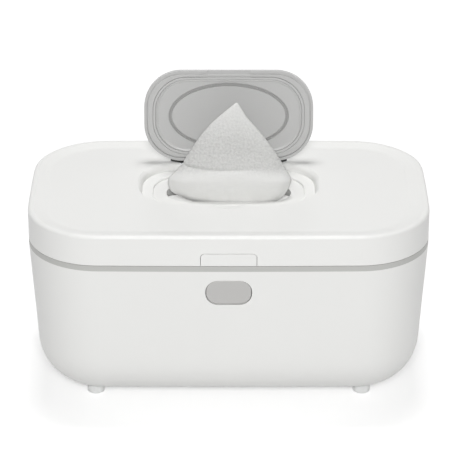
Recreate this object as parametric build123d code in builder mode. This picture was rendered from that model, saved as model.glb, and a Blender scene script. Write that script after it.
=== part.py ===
"""Baby wipe warmer: a heated tub with a hinged lid, a flip lid over the wipe opening and a
front release button. Millimetres. The origin is on the resting surface, below the middle of
the body; +Z is up and the front faces -Y. The flip lid is drawn open, the main lid closed."""
from build123d import *
from math import cos, radians, sin, tan
import os

os.makedirs("parts", exist_ok=True)

# ---------------------------------------------------------------- driving dimensions
# body
body_width = 250.0            # across, X
body_depth = 146.0            # front to rear, Y
rim_height = 122.0            # resting surface to the top of the lid's rim
corner_radius = 45.0          # plan corners
face_bow = 1.5                # how far the long sides bulge
end_bow = 2.0                 # how far the short sides bulge
foot_height = 2.5             # underside above the resting surface
housing_wall = 2.5
housing_draft = 3.5           # degrees
belly_radius = 32.0           # large round along the bottom edge
seam_gap = 0.3                # between mouldings that meet at a visible seam
fit_gap = 0.1                 # between fixed pieces seated in each other
running_gap = 0.05            # radial, pin in bore

# grey band, the lip of the inner tub
band_height = 3.6
band_below_rim = 19.8         # rim top to the band's upper edge
tub_lip = 2.0                 # thickness of the band
flange_wall = 1.8
tub_wall = 2.0
tub_margin = 17.0             # outline of the body to the mouth of the tub
tub_draft = 1.5               # degrees
tub_floor_height = 26.0       # resting surface to the compartment's floor
tub_floor_radius = 8.0

# main lid
rim_round = 2.0
rim_land = 1.6                # flat top of the rim
rim_slope = 7.0               # width of the slope down to the panel
panel_drop = 1.6              # rim top to panel
rim_blend = 12.0              # soft round where the slope meets the panel
pan_screw_margin = 30.0       # ends of the body to the outer pan screws
pan_screw_inset = 31.0        # front and rear of the body to the outer pan screws
lid_wall = 2.5
pan_thickness = 2.0
gasket_width = 4.0
gasket_height = 2.4
gasket_inset = 3.0            # mouth of the tub to the gasket
pan_inset = 9.5               # outline of the body to the edge of the pan

# recess for the flip lid and dispensing opening
flip_width = 108.4
flip_depth = 59.0
flip_corner = 24.0
flip_centre_y = 7.2
recess_gap = 0.6              # flip lid to recess wall
recess_depth = 5.0            # panel to recess floor
recess_wall = 2.0
recess_round = 3.5            # soft round of the recess's side and rear edges
round_end = 15.0              # degrees left between that round and the panel
well_width = 95.6             # shallow well in the floor of the recess
well_depth = 49.2
well_corner = 21.0
well_drop = 1.2
slot_width = 79.0             # dispensing opening
slot_depth = 26.6
notch_width = 24.6            # finger notch in front of the flip lid
notch_reach = 7.0
notch_depth = 1.5

# flip lid
flip_open_angle = 100.0
flip_proud = 0.8              # closed flip lid above the panel
flip_wall = 1.8
flip_top_wall = 1.5
flip_lip_width = 27.4         # finger edge at the front
flip_lip_height = 1.3
flip_lip_depth = 3.1
flip_round = 0.9
flip_lift = 0.4               # skirt above the recess floor when closed
liner_wall = 1.3
liner_sunk = 1.0              # edge of the flip lid to the liner's face
liner_rib = 1.2               # width of the liner's edge wall, its bead and its groove's walls
bead_width = 96.6             # low bead round the liner
bead_depth = 50.2
bead_corner = 21.6
bead_height = 0.8
seal_width = 77.4             # oval groove for the seal
seal_depth = 43.6
seal_groove = 1.4
seal_band = 2.4               # width of the groove
seal_thickness = 0.5
flip_axis_behind = 3.2        # rear edge of the flip lid to its axis
flip_axis_drop = 1.2          # panel down to the axis
strip_width = 75.0            # dark hinge strip on the flip lid's rear edge
strip_proud = 1.6
strip_gap = 0.5               # strip to the recess's rear wall
strip_height = 3.2
flip_barrel_radius = 2.2
flip_barrel_width = 58.0
flip_pin_radius = 1.0
flip_pin_seat = 1.4           # pin length in each end wall

# rear hinge of the main lid
lid_axis_inset = 3.2          # rear of the body to the hinge axis
lid_axis_below_lid = 2.1      # lower edge of the lid to the axis
lid_barrel_radius = 3.0
lid_pin_radius = 1.5
hinge_spread = 104.0          # distance between the two hinges
knuckle_width = 7.8           # lid knuckle
ear_width = 5.6               # housing ear on each side of the knuckle
knuckle_gap = 0.35
knuckle_clearance = 1.4       # housing cleared round the knuckles
rear_relief = 5.0             # radius cleared in the lid's rear edge round the hinge axis

# release button and latch
button_width = 27.8
button_height = 16.4
button_corner = 7.4
button_gap = 0.35
button_below_seam = 14.9      # housing top edge to the button's centre
button_sunk = 0.4
button_wall = 2.0
button_depth = 7.0
button_travel = 2.2
tab_width = 34.0              # latch tab in the lid's skirt
tab_height = 8.0
tab_corner = 2.5
catch_width = 14.0
catch_thickness = 2.0
catch_lift = 1.0              # lid edge up to the foot that carries the catch
catch_reach = 10.0            # lid edge down to the catch's lower end
nose = 2.4
hook_height = 3.0
catch_setback = 3.4           # front of the lid to the catch
catch_room = 1.0              # catch to the sides of its slot
hook_gap = 0.3
spring_wire = 0.7
spring_radius = 3.2
spring_turns = 5
spring_pocket = 6.0           # depth of its pocket in the slider
stub_length = 2.0             # locating stub on the guide's strap
strap_wall = 1.0
guide_screw_length = 5.0
guide_screw_spread = 46.0
guide_wall = 2.0
guide_setback = 6.0           # front of the body to the rear end of the guide's bosses
slider_wall = 2.0
slider_setback = 11.5         # front of the body to the slider's rear face
button_edge = 0.5

# feet and underside
foot_radius = 5.5
foot_spread_x = 168.6
foot_spread_y = 89.0
foot_seat = 5.5               # underside to the top of a foot
foot_round = 0.6
cover_width = 150.0
cover_depth = 74.0
cover_corner = 16.0
cover_thickness = 3.0
cover_ledge = 7.0
screw_radius = 1.5
screw_head_radius = 2.8
screw_head_height = 1.6
screw_length = 7.0
boss_margin = 1.2             # boss larger than the screw head, all round
boss_height = 8.0

# heating and electronics
plate_width = 176.0
plate_depth = 84.0
plate_corner = 14.0
plate_thickness = 1.5
film_thickness = 0.8
film_margin = 6.0
pad_thickness = 5.0
board_width = 62.0
board_depth = 38.0
board_thickness = 1.6
board_corner = 1.5
board_x = -30.0
board_stand = 3.0             # bottom cover to the board
socket_x = 60.0
socket_z = 42.0
socket_bore_radius = 2.8
socket_pin_radius = 1.05
socket_flange = 12.0
socket_length = 10.0
socket_bore_depth = 8.5
lead_radius = 1.1             # supply lead
wire_radius = 0.7             # heater lead
thermostat_x = 40.0
thermostat_radius = 8.0
thermostat_height = 4.0
thermostat_cap_radius = 6.4
fuse_x = -20.0
fuse_length = 14.0
fuse_radius = 2.0
heater_terminal = (-74.0, 6.0)
connector_width = 8.0
connector_depth = 7.0
connector_offset = 14.0       # supply connector from the board's middle
relay_size = (15.0, 10.0)
relay_place = (-8.0, 6.0)     # from the board's middle
capacitor_radius = 4.0
capacitor_place = (16.0, -4.0)
chip_size = (12.0, 7.0)
chip_place = (-2.0, -8.0)
chip_height = 1.2
part_height = 5.0             # tall components above the board
bend_share = 0.45             # part of the shorter run that a lead's bend may use

# wipe standing in the dispensing opening
wipe_height = 57.6            # above the well
wipe_neck_width = 50.0
wipe_neck_depth = 24.0
wipe_width = 75.0             # across the roll
wipe_depth = 29.0
wipe_roll_height = 18.6       # well to the crease between roll and flap
wipe_flap_thickness = 10.0
wipe_lean_side = 4.3          # offset of the tip
wipe_lean_back = 9.8

# ---------------------------------------------------------------- heights and places that follow
lid_edge_z = rim_height - band_below_rim + seam_gap
band_top = rim_height - band_below_rim
housing_top = band_top - band_height
panel_z = rim_height - panel_drop
recess_floor = panel_z - recess_depth
pan_screw_x = body_width - 2 * pan_screw_margin
pan_screw_y = body_depth / 2 - pan_screw_inset
flip_axis_y = flip_centre_y + flip_depth / 2 + flip_axis_behind
flip_axis_z = panel_z - flip_axis_drop
well_floor = recess_floor - well_drop
recess_under = well_floor - recess_wall
lid_axis_y = body_depth / 2 - lid_axis_inset
lid_axis_z = lid_edge_z - lid_axis_below_lid
cover_top = foot_height + cover_thickness
button_z = housing_top - button_below_seam
catch_front = -(body_depth / 2 - catch_setback)
catch_low = lid_edge_z - catch_reach
slider_rear = -(body_depth / 2 - slider_setback)
flip_pin_half = flip_barrel_width / 2 + recess_gap + flip_pin_seat


def level(z):
    """A horizontal plane at height z."""
    return Plane.XY.offset(z)


def outline(inset=0.0):
    """The body's plan: four bowed sides with round corners, smaller all round by inset."""
    half_width = body_width / 2 - inset
    half_depth = body_depth / 2 - inset
    corner_x = half_width - end_bow
    corner_y = half_depth - face_bow
    with BuildSketch() as plan:
        with BuildLine():
            ThreePointArc((-corner_x, -corner_y), (0, -half_depth), (corner_x, -corner_y))
            ThreePointArc((corner_x, -corner_y), (half_width, 0), (corner_x, corner_y))
            ThreePointArc((corner_x, corner_y), (0, half_depth), (-corner_x, corner_y))
            ThreePointArc((-corner_x, corner_y), (-half_width, 0), (-corner_x, -corner_y))
        make_face()
        fillet(plan.vertices(), corner_radius - inset)
    return plan.sketch


def bowl(inset, top, bottom, draft, edge_radius):
    """A solid with the body's plan that narrows downwards and is round along its lower edge."""
    with BuildPart() as form:
        with BuildSketch(level(top)):
            add(outline(inset))
        extrude(amount=bottom - top, taper=draft)
        fillet(form.faces().sort_by(Axis.Z)[0].edges(), edge_radius)
    return form.part


def rounded_block(width, depth, corner, low, high, centre_y=0.0):
    """A plate or block with round plan corners between two heights."""
    with BuildPart() as block:
        with BuildSketch(level(low)):
            with Locations((0, centre_y)):
                RectangleRounded(width, depth, corner)
        extrude(amount=high - low)
    return block.part


def rod(axis_y, axis_z, radius, x_from, x_to):
    """A rod along X."""
    with BuildPart() as bar:
        with BuildSketch(Plane.YZ.offset(x_from)):
            with Locations((axis_y, axis_z)):
                Circle(radius)
        extrude(amount=x_to - x_from)
    return bar.part


# ---------------------------------------------------------------- base: housing
body_outside = bowl(0, housing_top, foot_height, housing_draft, belly_radius)
body_inside = bowl(
    housing_wall, housing_top, foot_height + housing_wall, housing_draft, belly_radius - housing_wall
)
foot_top = foot_height + foot_seat
cover_screw_x = cover_width - 2 * cover_ledge - 2 * screw_head_radius
cover_screw_y = cover_depth - 2 * cover_ledge - 2 * screw_head_radius
boss_radius = screw_head_radius + boss_margin
guide_ear_y = -(body_depth / 2 - guide_setback)
knuckle_room = lid_barrel_radius + knuckle_clearance
pin_half = knuckle_width / 2 + knuckle_gap + ear_width
socket_face_y = body_depth / 2 - (housing_top - socket_z) * tan(radians(housing_draft))
button_face = -(body_depth / 2 - (housing_top - button_z) * tan(radians(housing_draft)))
hinge_centres = (-hinge_spread / 2, hinge_spread / 2)
ear_offset = knuckle_width / 2 + knuckle_gap + ear_width / 2
notch_half = knuckle_width / 2 + knuckle_gap + ear_width + knuckle_gap


def button_outline(gap=0.0):
    """The release button's oblong, larger all round by gap, seen from the front."""
    with BuildSketch() as pill:
        RectangleRounded(button_width + 2 * gap, button_height + 2 * gap, button_corner + gap)
    return pill.sketch


with BuildPart() as housing_bosses:
    with BuildSketch(level(foot_height)):
        with GridLocations(foot_spread_x, foot_spread_y, 2, 2):
            Circle(foot_radius + fit_gap + housing_wall)
    extrude(amount=foot_seat + housing_wall)
    with BuildSketch(level(foot_height)):
        RectangleRounded(cover_width + cover_ledge, cover_depth + cover_ledge, cover_corner)
        RectangleRounded(
            cover_width - 2 * cover_ledge,
            cover_depth - 2 * cover_ledge,
            cover_corner - cover_ledge,
            mode=Mode.SUBTRACT,
        )
    extrude(amount=cover_thickness + housing_wall)
    with BuildSketch(level(cover_top)):
        with GridLocations(cover_screw_x, cover_screw_y, 2, 2):
            Circle(boss_radius)
    extrude(amount=boss_height)
    with BuildSketch(Plane.XZ.offset(-guide_ear_y)):
        with Locations((0, button_z)):
            with GridLocations(guide_screw_spread, 1, 2, 1):
                Circle(boss_radius)
    extrude(amount=boss_height)
    add(body_outside, mode=Mode.INTERSECT)

with BuildPart() as hinge_ears:
    for centre in hinge_centres:
        for side in (-ear_offset, ear_offset):
            middle = centre + side
            add(rod(lid_axis_y, lid_axis_z, lid_barrel_radius, middle - ear_width / 2, middle + ear_width / 2))
            with BuildSketch(level(housing_top - lid_barrel_radius)):
                with Locations((middle, lid_axis_y)):
                    Rectangle(ear_width, 2 * lid_barrel_radius)
            extrude(amount=lid_axis_z - housing_top + lid_barrel_radius)
    add(bowl(0, rim_height, foot_height, 0, rim_round), mode=Mode.INTERSECT)

with BuildPart() as outer_housing:
    add(body_outside)
    add(body_inside, mode=Mode.SUBTRACT)
    add(housing_bosses.part)
    # room for the lid's knuckles, then the ears on both sides of them
    with BuildSketch(level(lid_axis_z - knuckle_room)):
        with Locations((0, lid_axis_y + knuckle_room / 2)):
            with GridLocations(hinge_spread, 1, 2, 1):
                Rectangle(knuckle_width + 2 * knuckle_gap, 3 * knuckle_room)
    extrude(amount=2 * knuckle_room, mode=Mode.SUBTRACT)
    add(hinge_ears.part)
    for centre in hinge_centres:
        add(
            rod(lid_axis_y, lid_axis_z, lid_pin_radius + running_gap, centre - pin_half, centre + pin_half),
            mode=Mode.SUBTRACT,
        )
    # button opening
    with BuildSketch(Plane.XZ.offset(-button_face - button_depth)):
        with Locations((0, button_z)):
            add(button_outline(button_gap))
    extrude(amount=2 * button_depth, mode=Mode.SUBTRACT)
    # screw holes for the button guide
    with BuildSketch(Plane.XZ.offset(-guide_ear_y)):
        with Locations((0, button_z)):
            with GridLocations(guide_screw_spread, 1, 2, 1):
                Circle(screw_radius + running_gap)
    extrude(amount=guide_screw_length - guide_wall, mode=Mode.SUBTRACT)
    # opening for the bottom cover, its screw holes and the foot sockets
    add(
        rounded_block(
            cover_width + 2 * fit_gap, cover_depth + 2 * fit_gap, cover_corner + fit_gap, 0, cover_top
        ),
        mode=Mode.SUBTRACT,
    )
    with BuildSketch(level(cover_top)):
        with GridLocations(cover_screw_x, cover_screw_y, 2, 2):
            Circle(screw_radius + running_gap)
    extrude(amount=screw_length, mode=Mode.SUBTRACT)
    with BuildSketch():
        with GridLocations(foot_spread_x, foot_spread_y, 2, 2):
            Circle(foot_radius + fit_gap)
    extrude(amount=foot_top, mode=Mode.SUBTRACT)
    # round hole for the power socket
    with BuildSketch(Plane.XZ.offset(-socket_face_y - socket_length)):
        with Locations((socket_x, socket_z)):
            Circle(socket_flange / 2 + fit_gap)
    extrude(amount=2 * socket_length, mode=Mode.SUBTRACT)
outer_housing.part.label = "outer_housing"
export_step(outer_housing.part, "parts/outer_housing.step")

# ---------------------------------------------------------------- base: underside
with BuildPart() as bottom_cover:
    add(rounded_block(cover_width, cover_depth, cover_corner, foot_height, cover_top))
    with BuildSketch(level(cover_top)):
        with Locations((board_x, 0)):
            with GridLocations(board_width - 2 * boss_radius, board_depth - 2 * boss_radius, 2, 2):
                Circle(boss_radius)
    extrude(amount=board_stand)
    with BuildSketch(level(cover_top + board_stand)):
        with Locations((board_x, 0)):
            with GridLocations(board_width - 2 * boss_radius, board_depth - 2 * boss_radius, 2, 2):
                Circle(screw_radius + running_gap)
    extrude(amount=-board_stand - cover_thickness / 2, mode=Mode.SUBTRACT)
    with BuildSketch(level(foot_height)):
        with GridLocations(cover_screw_x, cover_screw_y, 2, 2):
            Circle(screw_head_radius + fit_gap)
    extrude(amount=screw_head_height, mode=Mode.SUBTRACT)
    with BuildSketch(level(foot_height)):
        with GridLocations(cover_screw_x, cover_screw_y, 2, 2):
            Circle(screw_radius + fit_gap)
    extrude(amount=cover_thickness, mode=Mode.SUBTRACT)
bottom_cover.part.label = "bottom_cover"
export_step(bottom_cover.part, "parts/bottom_cover.step")


def screws(plane, places, head_radius=screw_head_radius, length=screw_length):
    """A group of round-head screws: the heads stand on the plane, the shanks go along -normal."""
    with BuildPart() as group:
        with BuildSketch(plane):
            with Locations(*places):
                Circle(head_radius)
        extrude(amount=screw_head_height)
        fillet(group.faces().filter_by(Axis(plane.origin, plane.z_dir)).group_by(
            Axis(plane.origin, plane.z_dir))[-1].edges(), screw_head_height / 2)
        with BuildSketch(plane):
            with Locations(*places):
                Circle(screw_radius)
        extrude(amount=-length)
    return group.part


def grid(spread_x, spread_y, centre_x=0.0, centre_y=0.0):
    """The four corners of a rectangle, as points."""
    return [
        (centre_x + side_x * spread_x / 2, centre_y + side_y * spread_y / 2)
        for side_x in (-1, 1)
        for side_y in (-1, 1)
    ]


underside = Plane(origin=(0, 0, foot_height + screw_head_height), x_dir=(1, 0, 0), z_dir=(0, 0, -1))
bottom_screws = screws(underside, grid(cover_screw_x, cover_screw_y))
bottom_screws.label = "bottom_screws"
export_step(bottom_screws, "parts/bottom_screws.step")

with BuildPart() as rubber_feet:
    with BuildSketch():
        with GridLocations(foot_spread_x, foot_spread_y, 2, 2):
            Circle(foot_radius)
    extrude(amount=foot_top)
    fillet(rubber_feet.faces().group_by(Axis.Z)[0].edges(), foot_round)
rubber_feet.part.label = "rubber_feet"
export_step(rubber_feet.part, "parts/rubber_feet.step")

# ---------------------------------------------------------------- base: heated tub
tub_outside = bowl(
    tub_margin - tub_wall, band_top, tub_floor_height - tub_wall, tub_draft, tub_floor_radius + tub_wall
)
tub_inside = bowl(tub_margin, band_top, tub_floor_height, tub_draft, tub_floor_radius)
slot_front = -(body_depth / 2 - tub_lip) + fit_gap
slot_rear = catch_front + catch_thickness + nose + catch_room

with BuildPart() as inner_tub:
    with BuildSketch(level(housing_top)):
        add(outline())
    extrude(amount=band_height)
    with BuildSketch(level(housing_top)):
        add(outline(tub_lip))
    extrude(amount=band_height - flange_wall, mode=Mode.SUBTRACT)
    add(tub_outside)
    add(tub_inside, mode=Mode.SUBTRACT)
    # slot for the lid's catch
    with BuildSketch(level(housing_top)):
        with Locations((0, (slot_front + slot_rear) / 2)):
            Rectangle(catch_width + 2 * catch_room, slot_rear - slot_front)
    extrude(amount=band_height, mode=Mode.SUBTRACT)
    # notches for the two hinges
    with BuildSketch(level(housing_top)):
        with Locations((0, lid_axis_y + knuckle_room / 2)):
            with GridLocations(hinge_spread, 1, 2, 1):
                Rectangle(2 * notch_half, 3 * knuckle_room)
    extrude(amount=band_height, mode=Mode.SUBTRACT)
inner_tub.part.label = "inner_tub"
export_step(inner_tub.part, "parts/inner_tub.step")

# ---------------------------------------------------------------- base: heating
plate_top = tub_floor_height - tub_wall
film_top = plate_top - plate_thickness
pad_top = film_top - film_thickness
with BuildPart() as heat_plate:
    add(rounded_block(plate_width, plate_depth, plate_corner, film_top, plate_top))
heat_plate.part.label = "heat_plate"
export_step(heat_plate.part, "parts/heat_plate.step")


def under_plate(width, depth, low, high):
    """A layer under the heat plate, with openings for the thermostat, the fuse and the lead."""
    with BuildPart() as layer:
        add(rounded_block(width, depth, plate_corner - film_margin, low, high))
        with BuildSketch(level(low)):
            with Locations((thermostat_x, 0)):
                Circle(thermostat_radius + film_thickness)
            with Locations((fuse_x, 0)):
                Rectangle(fuse_length + 2 * film_thickness, 2 * fuse_radius + 2 * film_thickness)
        extrude(amount=high - low, mode=Mode.SUBTRACT)
    return layer


heater_film = under_plate(
    plate_width - 2 * film_margin, plate_depth - 2 * film_margin, pad_top, film_top
)
heater_film.part.label = "heater_film"
export_step(heater_film.part, "parts/heater_film.step")

insulation_pad = under_plate(
    plate_width - 2 * film_margin, plate_depth - 2 * film_margin, pad_top - pad_thickness, pad_top
)
with BuildPart() as lead_opening:
    with BuildSketch(level(pad_top - pad_thickness)):
        with Locations(heater_terminal):
            Circle(4 * wire_radius)
    extrude(amount=pad_thickness)
insulation_pad.part -= lead_opening.part
insulation_pad.part.label = "insulation_pad"
export_step(insulation_pad.part, "parts/insulation_pad.step")

with BuildPart() as thermostat:
    with BuildSketch(level(film_top)):
        with Locations((thermostat_x, 0)):
            Circle(thermostat_radius)
    extrude(amount=-thermostat_height / 2)
    with BuildSketch(level(film_top - thermostat_height / 2)):
        with Locations((thermostat_x, 0)):
            Circle(thermostat_cap_radius)
    extrude(amount=-thermostat_height / 2)
thermostat.part.label = "thermostat"
export_step(thermostat.part, "parts/thermostat.step")

with BuildPart() as thermal_fuse:
    add(rod(0, film_top - fuse_radius, fuse_radius, fuse_x - fuse_length / 2, fuse_x + fuse_length / 2))
    chamfer(thermal_fuse.faces().filter_by(Axis.X).edges(), fuse_radius / 3)
thermal_fuse.part.label = "thermal_fuse"
export_step(thermal_fuse.part, "parts/thermal_fuse.step")

# ---------------------------------------------------------------- base: electronics
board_low = cover_top + board_stand
board_high = board_low + board_thickness
board_screw_places = grid(
    board_width - 2 * boss_radius, board_depth - 2 * boss_radius, centre_x=board_x
)
with BuildPart() as control_board:
    with BuildSketch(level(board_low)):
        with Locations((board_x, 0)):
            RectangleRounded(board_width, board_depth, board_corner)
        with Locations(*board_screw_places):
            Circle(screw_radius + fit_gap, mode=Mode.SUBTRACT)
    extrude(amount=board_thickness)
control_board.part.label = "control_board"
export_step(control_board.part, "parts/control_board.step")

board_screws = screws(level(board_high), board_screw_places, length=board_thickness + board_stand)
board_screws.label = "board_screws"
export_step(board_screws, "parts/board_screws.step")

# connectors at two edges of the board, a relay, a capacitor and a controller chip
with BuildPart() as board_components:
    with BuildSketch(level(board_high)):
        with Locations((board_x + connector_offset, (board_depth - connector_depth) / 2)):
            Rectangle(connector_width, connector_depth)
        with Locations((board_x - (board_width - connector_depth) / 2, 0)):
            Rectangle(connector_depth, connector_width)
        with Locations((board_x + relay_place[0], relay_place[1])):
            Rectangle(*relay_size)
        with Locations((board_x + capacitor_place[0], capacitor_place[1])):
            Circle(capacitor_radius)
    extrude(amount=part_height)
    with BuildSketch(level(board_high)):
        with Locations((board_x + chip_place[0], chip_place[1])):
            Rectangle(*chip_size)
    extrude(amount=chip_height)
board_components.part.label = "board_components"
export_step(board_components.part, "parts/board_components.step")

with BuildPart() as power_socket:
    with BuildSketch(Plane.XZ.offset(-socket_face_y)):
        with Locations((socket_x, socket_z)):
            Circle(socket_flange / 2)
    extrude(amount=socket_length)
    with BuildSketch(Plane.XZ.offset(-socket_face_y)):
        with Locations((socket_x, socket_z)):
            Circle(socket_bore_radius)
            Circle(socket_pin_radius, mode=Mode.SUBTRACT)
    extrude(amount=socket_bore_depth, mode=Mode.SUBTRACT)
power_socket.part.label = "power_socket"
export_step(power_socket.part, "parts/power_socket.step")


def lead(route, radius):
    """A round lead along straight runs joined by arcs as large as the runs allow."""
    points = [Vector(*place) for place in route]
    bends = []
    for before, corner, after in zip(points, points[1:], points[2:]):
        turn = (corner - before).get_angle(after - corner)
        run = min((corner - before).length, (after - corner).length)
        bends.append(bend_share * run / tan(radians(turn / 2)))
    print("lead bend radii:", [round(bend, 1) for bend in bends])
    with BuildPart() as tube:
        with BuildLine() as path:
            FilletPolyline(*route, radius=bends)
        with BuildSketch(Plane(origin=route[0], z_dir=points[1] - points[0])):
            Circle(radius)
        sweep(path=path.wires()[0])
    return tube.part


connector_z = board_high + part_height / 2
socket_lead = lead(
    [
        (board_x + connector_offset, board_depth / 2, connector_z),
        (board_x + connector_offset + 2.0, socket_face_y - 36.5, connector_z),
        (board_x + 38.0, socket_face_y - 24.5, connector_z + 1.0),
        (socket_x - 26.0, socket_face_y - 19.5, connector_z + 2.0),
        (socket_x - 8.0, socket_face_y - 12.5, (connector_z + socket_z) / 2 - 3.0),
        (socket_x, socket_face_y - socket_length / 2, socket_z - socket_flange / 2),
    ],
    lead_radius,
)
socket_lead.label = "socket_lead"
export_step(socket_lead, "parts/socket_lead.step")

heater_lead = lead(
    [
        (board_x - board_width / 2, 0, connector_z),
        (board_x - board_width / 2 - 9.0, 0.5, connector_z),
        (heater_terminal[0] - 1.0, heater_terminal[1] - 1.0, connector_z + 3.0),
        (heater_terminal[0], heater_terminal[1], pad_top),
    ],
    wire_radius,
)
heater_lead.label = "heater_lead"
export_step(heater_lead, "parts/heater_lead.step")

# ---------------------------------------------------------------- base: button guide and hinge pins
guide_ear_x = guide_screw_spread / 2
arm_x = button_width / 2 + button_gap + guide_wall
strap_front = slider_rear + button_travel + hook_gap
strap_rear = strap_front + strap_wall

with BuildPart() as button_guide:
    # two ears on the housing's bosses
    with BuildSketch(Plane.XZ.offset(-guide_ear_y)):
        with Locations((0, button_z)):
            with GridLocations(guide_screw_spread, 1, 2, 1):
                Rectangle(2 * (guide_ear_x - arm_x) + guide_wall, 2 * boss_radius)
    extrude(amount=-guide_wall)
    # arms beside the button and the strap behind it, with a stub that centres the spring
    with BuildSketch(level(button_z - boss_radius)):
        for side in (-1, 1):
            with Locations((side * arm_x, (guide_ear_y + strap_rear) / 2)):
                Rectangle(guide_wall, strap_rear - guide_ear_y)
        with Locations((0, (strap_front + strap_rear) / 2)):
            Rectangle(2 * arm_x, strap_wall)
    extrude(amount=2 * boss_radius)
    with BuildSketch(Plane.XZ.offset(-strap_front)):
        with Locations((0, button_z)):
            Circle(spring_radius - spring_wire)
    extrude(amount=stub_length)
    with BuildSketch(Plane.XZ.offset(-guide_ear_y - guide_wall)):
        with Locations((0, button_z)):
            with GridLocations(guide_screw_spread, 1, 2, 1):
                Circle(screw_radius + fit_gap)
    extrude(amount=guide_wall, mode=Mode.SUBTRACT)
button_guide.part.label = "button_guide"
export_step(button_guide.part, "parts/button_guide.step")

guide_back = Plane(origin=(0, guide_ear_y + guide_wall, button_z), x_dir=(1, 0, 0), z_dir=(0, 1, 0))
guide_screws = screws(guide_back, [(-guide_ear_x, 0), (guide_ear_x, 0)], length=guide_screw_length)
guide_screws.label = "guide_screws"
export_step(guide_screws, "parts/guide_screws.step")

lid_hinge_pins = Part() + [
    rod(lid_axis_y, lid_axis_z, lid_pin_radius, centre - pin_half, centre + pin_half)
    for centre in hinge_centres
]
lid_hinge_pins.label = "lid_hinge_pins"
export_step(lid_hinge_pins, "parts/lid_hinge_pins.step")

# ---------------------------------------------------------------- release button
button_sunk_form = bowl(button_sunk, housing_top, foot_height, housing_draft, belly_radius)
button_rear = button_face + button_depth
with BuildPart() as release_button:
    with BuildSketch(Plane.XZ.offset(-button_rear)):
        with Locations((0, button_z)):
            add(button_outline())
    extrude(amount=2 * button_depth)
    add(button_sunk_form, mode=Mode.INTERSECT)
    fillet(release_button.faces().sort_by(Axis.Y)[0].edges(), button_edge)
    with BuildSketch(Plane.XZ.offset(-button_rear)):
        with Locations((0, button_z)):
            add(button_outline(-button_wall))
    extrude(amount=button_depth - button_wall - button_sunk, mode=Mode.SUBTRACT)
release_button.part.label = "release_button"
export_step(release_button.part, "parts/release_button.step")

block_front = button_rear - (button_depth - button_wall - button_sunk)
hook_low = catch_low + nose + hook_gap
hook_front = catch_front + catch_thickness + nose + hook_gap
with BuildPart() as latch_slider:
    # block that fills the button, with a pocket for the spring
    with BuildSketch(Plane.XZ.offset(-slider_rear)):
        with Locations((0, button_z)):
            add(button_outline(-button_wall - fit_gap))
    extrude(amount=slider_rear - block_front)
    # upright plate and the hook that reaches over the catch
    with BuildSketch(level(button_z)):
        with Locations((0, slider_rear - slider_wall / 2)):
            Rectangle(catch_width, slider_wall)
    extrude(amount=hook_low + hook_height - button_z)
    with BuildSketch(level(hook_low)):
        with Locations((0, (hook_front + slider_rear) / 2)):
            Rectangle(catch_width, slider_rear - hook_front)
    extrude(amount=hook_height)
    chamfer(latch_slider.edges().filter_by(Axis.X).group_by(Axis.Z)[-1].sort_by(Axis.Y)[0], nose / 2)
    with BuildSketch(Plane.XZ.offset(-slider_rear)):
        with Locations((0, button_z)):
            Circle(spring_radius + spring_wire)
    extrude(amount=spring_pocket, mode=Mode.SUBTRACT)
latch_slider.part.label = "latch_slider"
export_step(latch_slider.part, "parts/latch_slider.step")

spring_length = strap_front - (slider_rear - spring_pocket)
spring_pitch = (spring_length - spring_wire) / spring_turns
with BuildPart() as button_spring:
    with BuildLine() as coil:
        Helix(
            spring_pitch,
            spring_pitch * spring_turns,
            spring_radius,
            center=(0, strap_front - spring_wire / 2, button_z),
            direction=(0, -1, 0),
        )
    with BuildSketch(Plane(origin=coil.line @ 0, z_dir=coil.line % 0)):
        Circle(spring_wire / 2)
    sweep(path=coil.wires()[0])
print("button spring: least gap between turns", round(spring_pitch - spring_wire, 2))
button_spring.part.label = "button_spring"
export_step(button_spring.part, "parts/button_spring.step")

# ---------------------------------------------------------------- main lid
recess_front = flip_centre_y - flip_depth / 2 - recess_gap
recess_rear = flip_centre_y + flip_depth / 2 + strip_proud + strip_gap
recess_middle = (recess_front + recess_rear) / 2
recess_width = flip_width + 2 * recess_gap
recess_corner = flip_corner + recess_gap
pocket_width = flip_barrel_width + 2 * recess_gap
pocket_rear = flip_axis_y + flip_barrel_radius + recess_gap
pan_top = band_top + gasket_height + seam_gap + pan_thickness
post_length = panel_z - lid_wall - pan_top


def slot_outline(extra=0.0):
    """The dispensing opening, with round ends, larger all round by extra."""
    with BuildSketch() as opening:
        with Locations((0, flip_centre_y)):
            SlotOverall(slot_width + 2 * extra, slot_depth + 2 * extra)
    return opening.sketch


def recess_outline(spread=0.0):
    """The recess's plan, larger by spread at its sides and rear."""
    with BuildSketch() as plan:
        with Locations((0, recess_middle + spread / 2)):
            RectangleRounded(
                recess_width + 2 * spread, recess_rear - recess_front + spread, recess_corner + spread
            )
    return plan.sketch


def hinge_pocket(extra, floor):
    """The pocket for the flip lid's barrel, behind the recess."""
    width = pocket_width + 2 * extra
    with BuildPart() as pocket:
        with BuildSketch(level(panel_z)):
            with Locations((0, (recess_middle + pocket_rear + extra) / 2)):
                Rectangle(width, pocket_rear + extra - recess_middle)
        extrude(amount=floor - panel_z)
    return pocket.part


# recess under the flip lid: upright walls, and a soft round at the sides and rear
with BuildPart() as recess:
    with BuildSketch(level(recess_floor)):
        add(recess_outline())
    extrude(amount=recess_depth - recess_round * cos(radians(round_end)))
    for turn in (90.0, 70.0, 50.0, 30.0, round_end):
        drop = recess_round * (cos(radians(round_end)) - cos(radians(turn)))
        with BuildSketch(level(panel_z - drop)):
            add(recess_outline(recess_round * (1 - sin(radians(turn)))))
    loft()

# shallow basin in the lid's top, inside the raised rim
with BuildPart() as basin:
    with BuildSketch(level(rim_height)):
        add(outline(rim_round + rim_land))
    with BuildSketch(level(panel_z)):
        add(outline(rim_round + rim_land + rim_slope))
    loft(ruled=True)

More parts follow.
